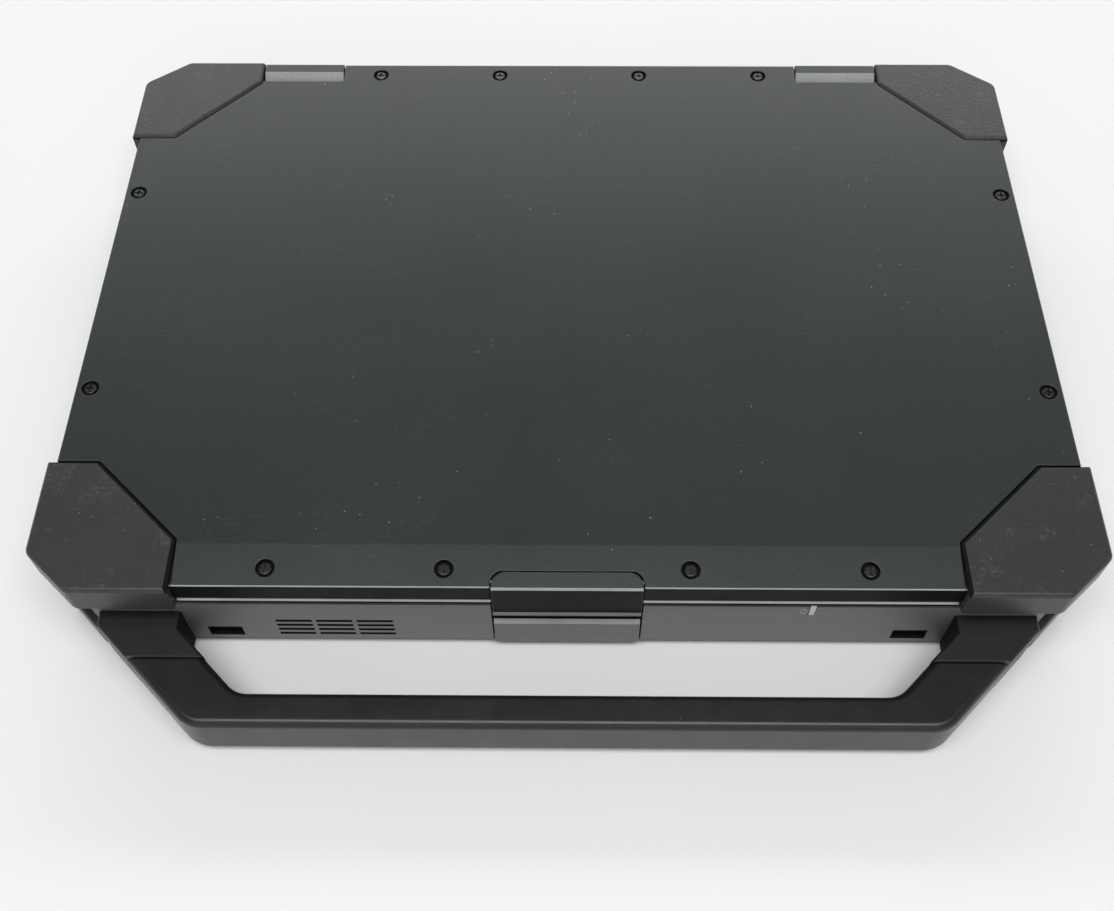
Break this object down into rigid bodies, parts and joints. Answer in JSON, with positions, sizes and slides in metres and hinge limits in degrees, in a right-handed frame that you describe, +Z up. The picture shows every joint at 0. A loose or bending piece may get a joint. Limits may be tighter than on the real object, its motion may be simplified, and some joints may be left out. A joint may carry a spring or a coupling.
{
  "type": "laptop computer",
  "caption": "Semi-rugged clamshell laptop with corner bumpers, front carrying handle, lid latch and sealed port doors.",
  "frame": {"origin": "on the table under the middle of the whole machine with its handle, at the underside of the feet", "axes": "+X to the user's right, +Y away from the user towards the hinges, +Z up"},
  "size_m": [0.347, 0.2798, 0.0446],
  "materials": {
    "lid_paint": "fine textured matt paint",
    "case_paint": "fine textured matt paint",
    "deck_plastic": "fine grained matt",
    "bumper_rubber": "smooth matt rubber",
    "handle_bracket": "grained satin",
    "handle_grip": "grained matt",
    "key_plastic": "satin",
    "door_plastic": "matt with a soft seal",
    "latch_plastic": "satin",
    "keeper_plastic": "satin",
    "hinge_steel": "brushed",
    "screw_black": "black oxide",
    "light_pipe": "translucent white",
    "screen_glass": "polished",
    "display_panel": "dark panel",
    "light_alloy": "plain sheet",
    "circuit_board": "green solder resist",
    "inner_plastic": "plain moulded"
  },
  "bodies": {
    "base": {"bottom_case": "case_paint", "top_deck": "deck_plastic", "handle_arm_left": "handle_bracket", "handle_arm_right": "handle_bracket", "handle_grip": "handle_grip", "handle_screws": "screw_black", "keyboard_plate": "light_alloy", "touchpad": "deck_plastic", "motherboard": "circuit_board", "heat_sink": "light_alloy", "fan_housing": "inner_plastic", "solid_state_drive": "circuit_board", "memory_module": "circuit_board", "speaker": "inner_plastic", "status_light_pipe": "light_pipe", "rubber_feet": "bumper_rubber", "base_screws": "screw_black", "hinge_leaf_left": "hinge_steel", "hinge_leaf_right": "hinge_steel", "hinge_cover_left": "case_paint", "hinge_cover_right": "case_paint", "port_connectors": "light_alloy", "latch_keeper": "keeper_plastic", "base_bumper_front_left": "bumper_rubber", "base_bumper_front_right": "bumper_rubber", "base_bumper_rear_left": "bumper_rubber", "base_bumper_rear_right": "bumper_rubber"},
    "lid": {"lid_cover": "lid_paint", "lid_bezel": "deck_plastic", "touch_glass": "screen_glass", "lcd_panel": "display_panel", "lid_screws": "screw_black", "camera_module": "latch_plastic", "lid_stop_pads": "bumper_rubber", "hinge_arm_left": "hinge_steel", "hinge_arm_right": "hinge_steel", "latch_pin": "hinge_steel", "lid_bumper_front_left": "bumper_rubber", "lid_bumper_front_right": "bumper_rubber", "lid_bumper_rear_left": "bumper_rubber", "lid_bumper_rear_right": "bumper_rubber"},
    "latch": {"latch": "latch_plastic"},
    "function_key_row": {"function_key_row": "key_plastic"},
    "number_key_row": {"number_key_row": "key_plastic"},
    "upper_key_row": {"upper_key_row": "key_plastic"},
    "home_key_row": {"home_key_row": "key_plastic"},
    "lower_key_row": {"lower_key_row": "key_plastic"},
    "space_key_row": {"space_key_row": "key_plastic"},
    "touchpad_button_left": {"touchpad_button_left": "key_plastic"},
    "touchpad_button_right": {"touchpad_button_right": "key_plastic"},
    "power_button": {"power_button": "key_plastic"},
    "fan_impeller": {"fan_impeller": "inner_plastic"},
    "battery_left": {"battery_left": "inner_plastic"},
    "port_door_left": {"port_door_left": "door_plastic"},
    "port_door_rear_left": {"port_door_rear_left": "door_plastic"},
    "battery_right": {"battery_right": "inner_plastic"},
    "port_door_right": {"port_door_right": "door_plastic"},
    "port_door_rear_right": {"port_door_rear_right": "door_plastic"},
    "camera_shutter": {"camera_shutter": "latch_plastic"}
  },
  "joints": [
    {"name": "lid_hinge", "type": "hinge", "parent": "base", "child": "lid", "pos_m": [0, 0.13612, 0.038], "axis": [-1, 0, 0], "range_deg": [0, 140]},
    {"name": "latch_pivot", "type": "hinge", "parent": "lid", "child": "latch", "pos_m": [0, -0.09857, 0.04073], "axis": [-1, 0, 0], "range_deg": [-3.7, 14], "stiffness_Nm_per_rad": 0.05},
    {"name": "function_key_row_press", "type": "slide", "parent": "base", "child": "function_key_row", "axis": [0, 0, -1], "range_m": [0, 0.0016], "stiffness_N_per_m": 1500, "springref_m": -0.0005},
    {"name": "number_key_row_press", "type": "slide", "parent": "base", "child": "number_key_row", "axis": [0, 0, -1], "range_m": [0, 0.0016], "stiffness_N_per_m": 1500, "springref_m": -0.0005},
    {"name": "upper_key_row_press", "type": "slide", "parent": "base", "child": "upper_key_row", "axis": [0, 0, -1], "range_m": [0, 0.0016], "stiffness_N_per_m": 1500, "springref_m": -0.0005},
    {"name": "home_key_row_press", "type": "slide", "parent": "base", "child": "home_key_row", "axis": [0, 0, -1], "range_m": [0, 0.0016], "stiffness_N_per_m": 1500, "springref_m": -0.0005},
    {"name": "lower_key_row_press", "type": "slide", "parent": "base", "child": "lower_key_row", "axis": [0, 0, -1], "range_m": [0, 0.0016], "stiffness_N_per_m": 1500, "springref_m": -0.0005},
    {"name": "space_key_row_press", "type": "slide", "parent": "base", "child": "space_key_row", "axis": [0, 0, -1], "range_m": [0, 0.0016], "stiffness_N_per_m": 1500, "springref_m": -0.0005},
    {"name": "touchpad_button_left_press", "type": "slide", "parent": "base", "child": "touchpad_button_left", "axis": [0, 0, -1], "range_m": [0, 0.0008], "stiffness_N_per_m": 1500, "springref_m": -0.0005},
    {"name": "touchpad_button_right_press", "type": "slide", "parent": "base", "child": "touchpad_button_right", "axis": [0, 0, -1], "range_m": [0, 0.0008], "stiffness_N_per_m": 1500, "springref_m": -0.0005},
    {"name": "power_button_press", "type": "slide", "parent": "base", "child": "power_button", "axis": [0, 0, -1], "range_m": [0, 0.0008], "stiffness_N_per_m": 1500, "springref_m": -0.0005},
    {"name": "fan_spin", "type": "hinge", "parent": "base", "child": "fan_impeller", "pos_m": [-0.122, 0.08762, 0.0142], "axis": [0, 0, 1], "continuous": true},
    {"name": "battery_left_slide", "type": "slide", "parent": "base", "child": "battery_left", "axis": [-1, 0, 0], "range_m": [0, 0.1175]},
    {"name": "port_door_left_hinge", "type": "hinge", "parent": "base", "child": "port_door_left", "pos_m": [-0.1683, 0.03263, 0.0064], "axis": [0, -1, 0], "range_deg": [0, 100]},
    {"name": "port_door_rear_left_hinge", "type": "hinge", "parent": "base", "child": "port_door_rear_left", "pos_m": [-0.052, 0.13772, 0.0064], "axis": [-1, 0, 0], "range_deg": [0, 100]},
    {"name": "battery_right_slide", "type": "slide", "parent": "base", "child": "battery_right", "axis": [1, 0, 0], "range_m": [0, 0.1175]},
    {"name": "port_door_right_hinge", "type": "hinge", "parent": "base", "child": "port_door_right", "pos_m": [0.1683, 0.03263, 0.0064], "axis": [0, 1, 0], "range_deg": [0, 100]},
    {"name": "port_door_rear_right_hinge", "type": "hinge", "parent": "base", "child": "port_door_rear_right", "pos_m": [0.052, 0.13772, 0.0064], "axis": [-1, 0, 0], "range_deg": [0, 100]},
    {"name": "camera_shutter_slide", "type": "slide", "parent": "lid", "child": "camera_shutter", "axis": [-1, 0, 0], "range_m": [0, 0.008]}
  ]
}
